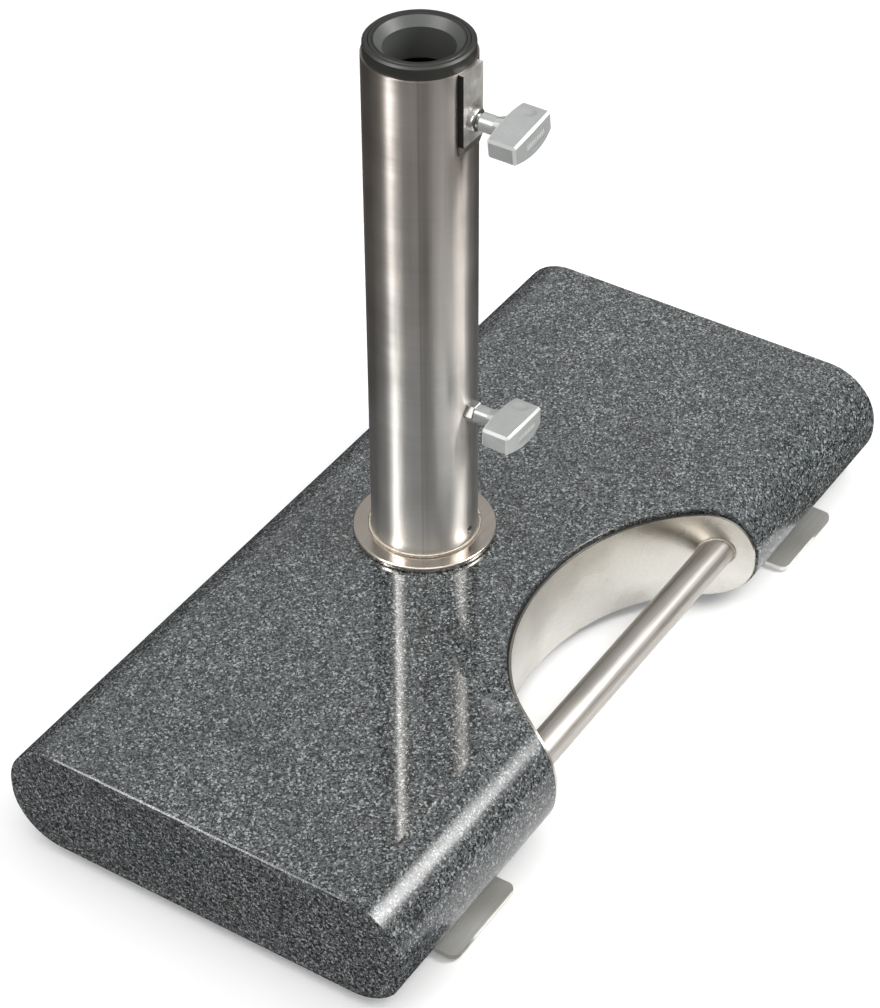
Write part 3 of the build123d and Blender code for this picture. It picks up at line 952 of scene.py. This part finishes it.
def makeScrew(level, values):
    low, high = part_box(level + "_spindle")
    length = high.y - low.y - values["noseLength"]
    root = values["radius"] - values["rootDepth"]
    nose, tip = values["noseRadius"], length + values["noseLength"]
    shoulder, chamfer = values["shoulder"], values["noseChamfer"]
    core = lathe(level + "Core", [
        (0, 0), (root, 0), (root, length - shoulder), (root - shoulder, length),
        (nose, length), (nose, tip - chamfer), (nose - chamfer, tip), (0, tip),
    ], 40)
    toAxis = Matrix.Translation((0, low.y, axisHeights[level])) @ Matrix.Rotation(math.radians(-90), 4, "X")
    threadLength = length - 2 * values["pitch"]
    mesh = bakeTree(level + "Screw", core, threadTree, {
        "Turns": threadLength / values["pitch"], "Length": threadLength, "Radius": root,
        "Ridge": values["rootDepth"], "Finish": boltSteel,
    }, toAxis)
    smoothBy(mesh, 40)
    placed(level + "_screw", mesh, boltSteel, level + "_knob", level + "_spindle")


def makeGripRibs(level, values):
    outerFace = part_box(level + "_grip")[0].y
    empty = bpy.data.meshes.new(level + "RibBase")
    span = values["spacing"] * (values["count"] - 1)
    turn = Matrix.Rotation(math.radians(-values["gripTurns"][level]), 4, "Y")
    place = Matrix.Translation((0, outerFace + values["floor"], axisHeights[level])) @ turn
    mesh = bakeTree(level + "GripRibs", empty, ribTree, {
        "Count": values["count"], "First": (-span / 2, 0, 0), "Step": (values["spacing"], 0, 0),
        "Size": (values["width"], values["raise"], values["height"]), "Finish": ribHighlightPlastic,
    }, place)
    smoothBy(mesh, 60)
    placed(level + "_grip_ribs", mesh, ribHighlightPlastic, level + "_knob")


for level in ("upper", "lower"):
    makeScrew(level, screwValues)
    makeGripRibs(level, ribValues)
print("stage: screws and grips")


treadValues = {
    "count": 12,
    "plate": 0.0012,
    "rise": 0.0009,
    "ribWidth": 0.33,  # half of it, as a share of the spacing
    "margin": 0.0022,
    "cornerRadius": 0.004,
    "topRound": 0.0004,
    "bottomRound": 0.0003,
}


def makeFootPad(corner, values):
    low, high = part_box(corner + "_foot_pad")
    shape = bmesh.new()
    radius = values["cornerRadius"]
    loop = []
    for cx, cy, start in (
        (high.x - radius, high.y - radius, 0), (low.x + radius, high.y - radius, 90),
        (low.x + radius, low.y + radius, 180), (high.x - radius, low.y + radius, 270),
    ):
        for k in range(7):
            a = math.radians(start + 15 * k)
            loop.append((cx + radius * math.cos(a), cy + radius * math.sin(a)))
    middle = ((low.x + high.x) / 2, (low.y + high.y) / 2)
    bottom = high.z - values["plate"]
    topRound, bottomRound = values["topRound"], values["bottomRound"]
    rings = []
    for inset, z in (
        (topRound, high.z), (0.0, high.z - topRound), (0.0, bottom + bottomRound), (bottomRound, bottom),
    ):
        ring = []
        for x, y in loop:
            dx, dy = x - middle[0], y - middle[1]
            size = math.hypot(dx, dy)
            ring.append(shape.verts.new((x - dx / size * inset, y - dy / size * inset, z)))
        rings.append(ring)
    total = len(loop)
    for upper, lower in zip(rings, rings[1:]):
        for k in range(total):
            shape.faces.new((upper[k], lower[k], lower[(k + 1) % total], upper[(k + 1) % total]))
    shape.faces.new(rings[0])
    shape.faces.new(list(reversed(rings[-1])))
    bmesh.ops.recalc_face_normals(shape, faces=shape.faces)
    base = bpy.data.meshes.new(corner + "PadBase")
    shape.to_mesh(base)
    shape.free()
    firstY = low.y + values["margin"]
    step = (high.y - low.y - 2 * values["margin"]) / (values["count"] - 1)
    half = (high.x - low.x) / 2 - values["margin"]
    mesh = bakeTree(corner + "FootPad", base, ribTree, {
        "Count": values["count"], "First": (middle[0], firstY, low.z + values["rise"]), "Step": (0, step, 0),
        "Size": (half, step * values["ribWidth"], values["rise"]), "Finish": rubber,
    })
    smoothBy(mesh, 40)
    placed(corner + "_tread_pad", mesh, rubber, "stand", corner + "_foot_pad")


for corner in corners:
    makeFootPad(corner, treadValues)
print("stage: feet")


boltValues = {
    "headFlats": 0.018,
    "headHeight": 0.0075,
    "headChamfer": 0.001,
    "headTop": 0.93,  # of the head's radius
    "shaftRadius": 0.006,
    "threadLength": 0.022,
    "threadInset": 0.001,
    "pitch": 0.00175,
    "rootDepth": 0.0009,
    "tipChamfer": 0.0008,
}


def makeMountingBolt(values):
    low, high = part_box("mounting_bolt")
    seat = high.z - values["headHeight"]
    root = values["shaftRadius"] - values["rootDepth"]
    threadTop = low.z + values["threadLength"]
    tip, inset = values["tipChamfer"], values["threadInset"]
    core = lathe("boltCore", [
        (0, low.z), (root - tip, low.z), (root, low.z + tip), (root, threadTop),
        (values["shaftRadius"], threadTop + inset), (values["shaftRadius"], seat), (0, seat),
    ], 48)
    shape = bmesh.new()
    shape.from_mesh(core)
    corner = values["headFlats"] / 2 / math.cos(math.radians(30))
    turns = [math.radians(60 * k + 30) for k in range(6)]
    shapeOfHead = (
        (corner, seat), (corner, high.z - values["headChamfer"]), (corner * values["headTop"], high.z),
    )
    rings = []
    for radius, z in shapeOfHead:
        rings.append([shape.verts.new((radius * math.cos(a), radius * math.sin(a), z)) for a in turns])
    for lower, upper in zip(rings, rings[1:]):
        for k in range(6):
            shape.faces.new((lower[k], lower[(k + 1) % 6], upper[(k + 1) % 6], upper[k]))
    shape.faces.new(list(reversed(rings[0])))
    shape.faces.new(rings[-1])
    shape.to_mesh(core)
    shape.free()
    length = values["threadLength"] - 2 * inset
    empty = bpy.data.meshes.new("boltThreadBase")
    thread = bakeTree("boltThread", empty, threadTree, {
        "Turns": length / values["pitch"], "Length": length, "Radius": root,
        "Ridge": values["rootDepth"], "Finish": boltSteel,
    }, Matrix.Translation((0, 0, low.z + inset)))
    whole = bmesh.new()
    whole.from_mesh(core)
    whole.from_mesh(thread)
    bmesh.ops.translate(whole, verts=whole.verts, vec=(tubeX, tubeY, 0))
    whole.to_mesh(core)
    whole.free()
    smoothBy(core, 30)
    placed("mounting_bolt_threaded", core, boltSteel, "stand", "mounting_bolt")


makeMountingBolt(boltValues)
print("stage: bolt")
